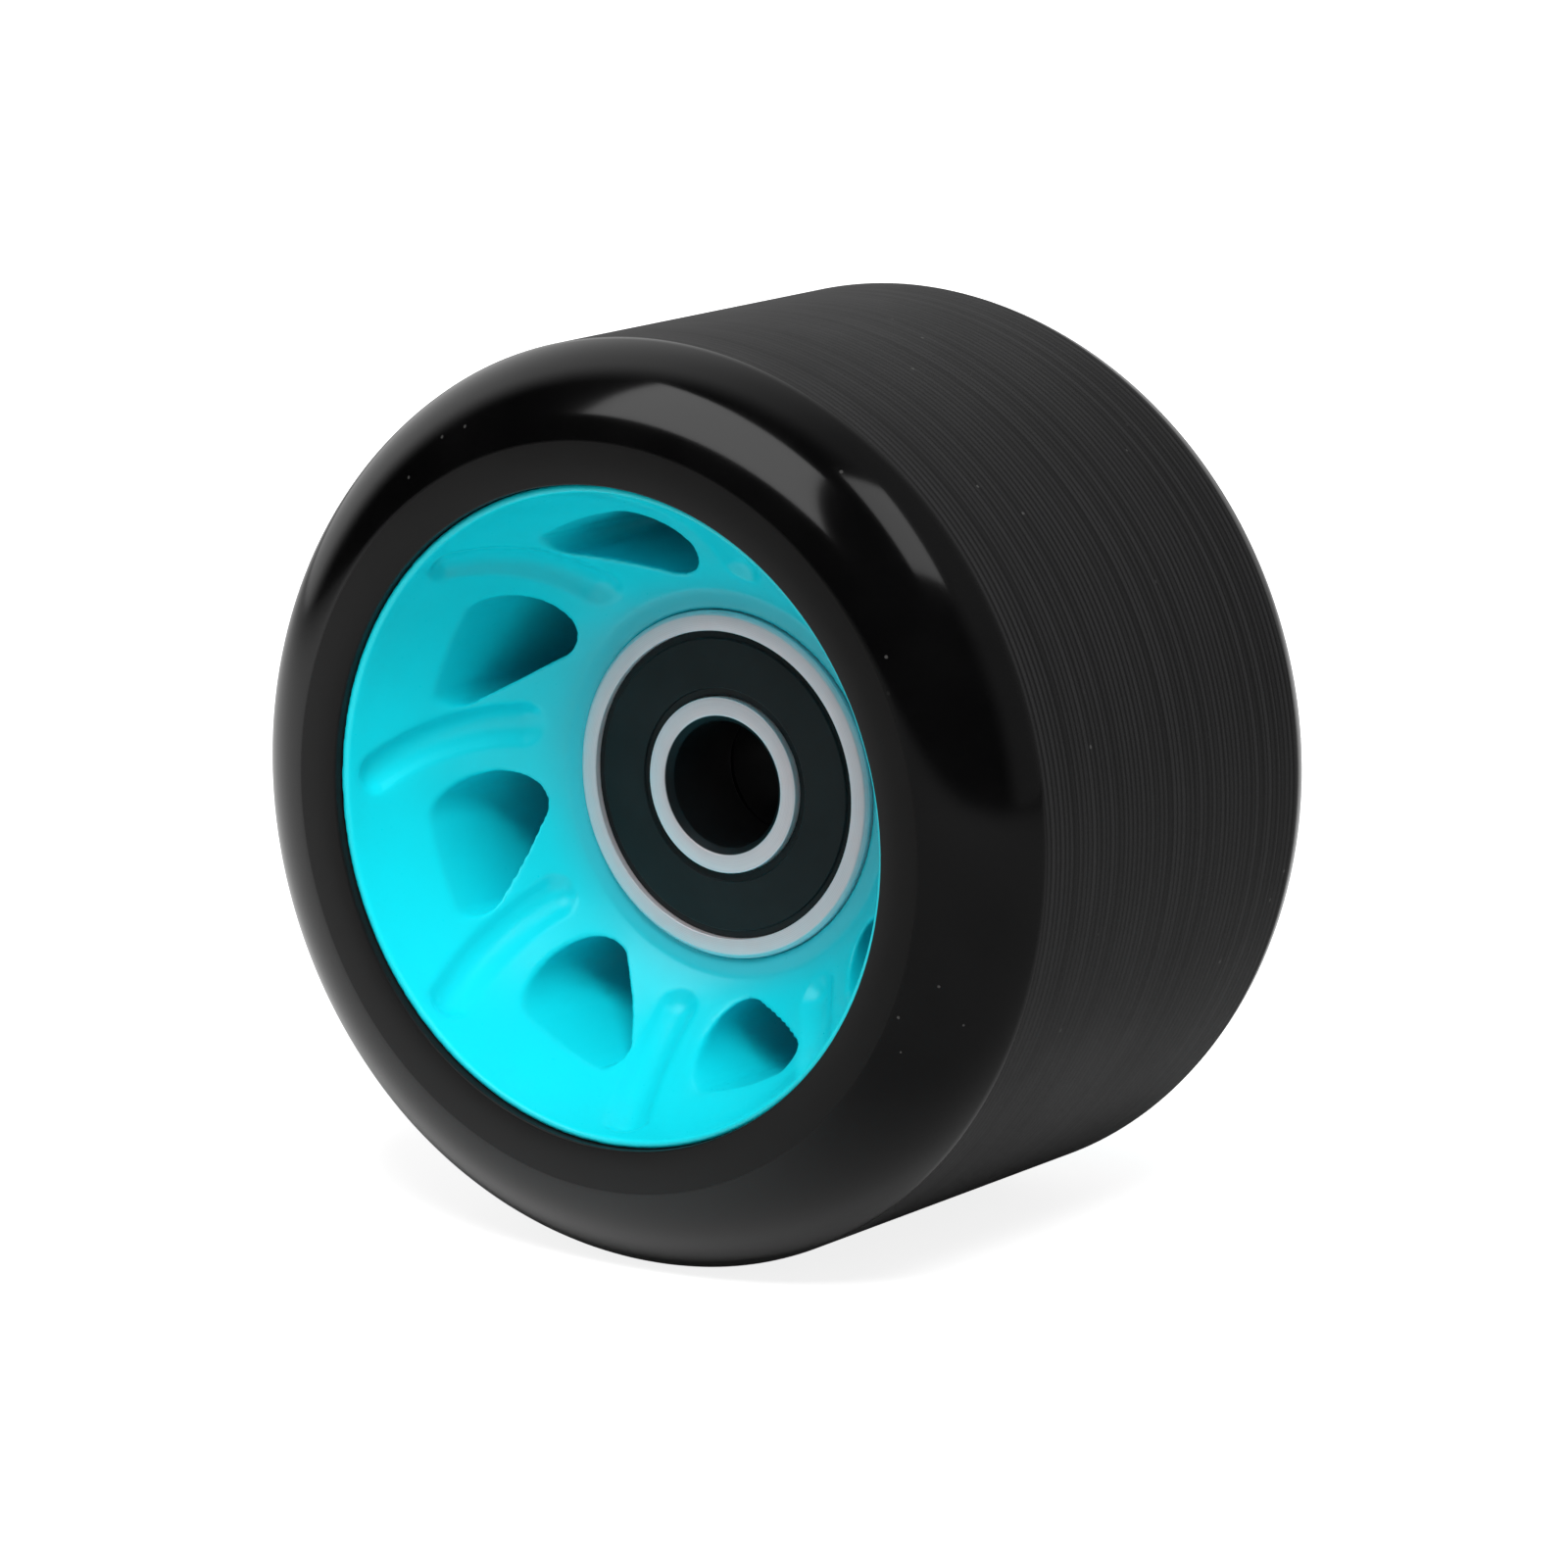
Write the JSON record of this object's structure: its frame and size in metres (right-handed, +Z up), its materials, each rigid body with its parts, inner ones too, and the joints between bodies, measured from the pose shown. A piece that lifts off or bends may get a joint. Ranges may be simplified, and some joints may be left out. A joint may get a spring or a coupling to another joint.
{
  "type": "roller skate wheel",
  "caption": "Quad roller skate wheel: black urethane tyre with a turned tread on a dished cyan hub with swept openings, turning on sealed ball bearings.",
  "frame": {"origin": "centre of the tyre, on the axle's line", "axes": "+Y along the axle, from the dished front to the back; +Z up; the front faces -Y"},
  "size_m": [0.058, 0.039, 0.058],
  "materials": {
    "tyre": "turned tread, glossy moulded lips",
    "hub": "gloss moulded",
    "spacer": "black anodised",
    "race": "ground satin",
    "ball": "polished",
    "cage": "moulded nylon",
    "seal": "moulded, satin"
  },
  "bodies": {
    "axle_set": {"front_inner_race": "race", "bearing_spacer": "spacer", "back_inner_race": "race"},
    "wheel": {"tyre": "tyre", "hub": "hub", "front_outer_race": "race", "back_outer_race": "race", "front_outer_seal": "seal", "front_inner_seal": "seal", "back_outer_seal": "seal", "back_inner_seal": "seal"},
    "front_cage": {"front_cage": "cage"},
    "front_ball_1": {"front_ball_1": "ball"},
    "front_ball_2": {"front_ball_2": "ball"},
    "front_ball_3": {"front_ball_3": "ball"},
    "front_ball_4": {"front_ball_4": "ball"},
    "front_ball_5": {"front_ball_5": "ball"},
    "front_ball_6": {"front_ball_6": "ball"},
    "front_ball_7": {"front_ball_7": "ball"},
    "back_cage": {"back_cage": "cage"},
    "back_ball_1": {"back_ball_1": "ball"},
    "back_ball_2": {"back_ball_2": "ball"},
    "back_ball_3": {"back_ball_3": "ball"},
    "back_ball_4": {"back_ball_4": "ball"},
    "back_ball_5": {"back_ball_5": "ball"},
    "back_ball_6": {"back_ball_6": "ball"},
    "back_ball_7": {"back_ball_7": "ball"}
  },
  "joints": [
    {"name": "wheel_spin", "type": "hinge", "parent": "axle_set", "child": "wheel", "pos_m": [0, 0, 0], "axis": [0, 1, 0], "continuous": true},
    {"name": "front_cage_orbit", "type": "hinge", "parent": "axle_set", "child": "front_cage", "pos_m": [0, -0.0033, 0], "axis": [0, 1, 0], "continuous": true},
    {"name": "front_ball_1_roll", "type": "hinge", "parent": "front_cage", "child": "front_ball_1", "pos_m": [0.0075, -0.0033, 0], "axis": [0, 1, 0], "continuous": true},
    {"name": "front_ball_2_roll", "type": "hinge", "parent": "front_cage", "child": "front_ball_2", "pos_m": [0.00468, -0.0033, 0.00586], "axis": [0, 1, 0], "continuous": true},
    {"name": "front_ball_3_roll", "type": "hinge", "parent": "front_cage", "child": "front_ball_3", "pos_m": [-0.00167, -0.0033, 0.00731], "axis": [0, 1, 0], "continuous": true},
    {"name": "front_ball_4_roll", "type": "hinge", "parent": "front_cage", "child": "front_ball_4", "pos_m": [-0.00676, -0.0033, 0.00325], "axis": [0, 1, 0], "continuous": true},
    {"name": "front_ball_5_roll", "type": "hinge", "parent": "front_cage", "child": "front_ball_5", "pos_m": [-0.00676, -0.0033, -0.00325], "axis": [0, 1, 0], "continuous": true},
    {"name": "front_ball_6_roll", "type": "hinge", "parent": "front_cage", "child": "front_ball_6", "pos_m": [-0.00167, -0.0033, -0.00731], "axis": [0, 1, 0], "continuous": true},
    {"name": "front_ball_7_roll", "type": "hinge", "parent": "front_cage", "child": "front_ball_7", "pos_m": [0.00468, -0.0033, -0.00586], "axis": [0, 1, 0], "continuous": true},
    {"name": "back_cage_orbit", "type": "hinge", "parent": "axle_set", "child": "back_cage", "pos_m": [0, 0.0137, 0], "axis": [0, 1, 0], "continuous": true},
    {"name": "back_ball_1_roll", "type": "hinge", "parent": "back_cage", "child": "back_ball_1", "pos_m": [0.0075, 0.0137, 0], "axis": [0, 1, 0], "continuous": true},
    {"name": "back_ball_2_roll", "type": "hinge", "parent": "back_cage", "child": "back_ball_2", "pos_m": [0.00468, 0.0137, -0.00586], "axis": [0, 1, 0], "continuous": true},
    {"name": "back_ball_3_roll", "type": "hinge", "parent": "back_cage", "child": "back_ball_3", "pos_m": [-0.00167, 0.0137, -0.00731], "axis": [0, 1, 0], "continuous": true},
    {"name": "back_ball_4_roll", "type": "hinge", "parent": "back_cage", "child": "back_ball_4", "pos_m": [-0.00676, 0.0137, -0.00325], "axis": [0, 1, 0], "continuous": true},
    {"name": "back_ball_5_roll", "type": "hinge", "parent": "back_cage", "child": "back_ball_5", "pos_m": [-0.00676, 0.0137, 0.00325], "axis": [0, 1, 0], "continuous": true},
    {"name": "back_ball_6_roll", "type": "hinge", "parent": "back_cage", "child": "back_ball_6", "pos_m": [-0.00167, 0.0137, 0.00731], "axis": [0, 1, 0], "continuous": true},
    {"name": "back_ball_7_roll", "type": "hinge", "parent": "back_cage", "child": "back_ball_7", "pos_m": [0.00468, 0.0137, 0.00586], "axis": [0, 1, 0], "continuous": true}
  ],
  "couplings": [
    {"joint": "front_cage_orbit", "follows": "wheel_spin", "ratio": 0.6323},
    {"joint": "front_ball_1_roll", "follows": "wheel_spin", "ratio": 1.7573},
    {"joint": "front_ball_2_roll", "follows": "wheel_spin", "ratio": 1.7573},
    {"joint": "front_ball_3_roll", "follows": "wheel_spin", "ratio": 1.7573},
    {"joint": "front_ball_4_roll", "follows": "wheel_spin", "ratio": 1.7573},
    {"joint": "front_ball_5_roll", "follows": "wheel_spin", "ratio": 1.7573},
    {"joint": "front_ball_6_roll", "follows": "wheel_spin", "ratio": 1.7573},
    {"joint": "front_ball_7_roll", "follows": "wheel_spin", "ratio": 1.7573},
    {"joint": "back_cage_orbit", "follows": "wheel_spin", "ratio": 0.6323},
    {"joint": "back_ball_1_roll", "follows": "wheel_spin", "ratio": 1.7573},
    {"joint": "back_ball_2_roll", "follows": "wheel_spin", "ratio": 1.7573},
    {"joint": "back_ball_3_roll", "follows": "wheel_spin", "ratio": 1.7573},
    {"joint": "back_ball_4_roll", "follows": "wheel_spin", "ratio": 1.7573},
    {"joint": "back_ball_5_roll", "follows": "wheel_spin", "ratio": 1.7573},
    {"joint": "back_ball_6_roll", "follows": "wheel_spin", "ratio": 1.7573},
    {"joint": "back_ball_7_roll", "follows": "wheel_spin", "ratio": 1.7573}
  ]
}
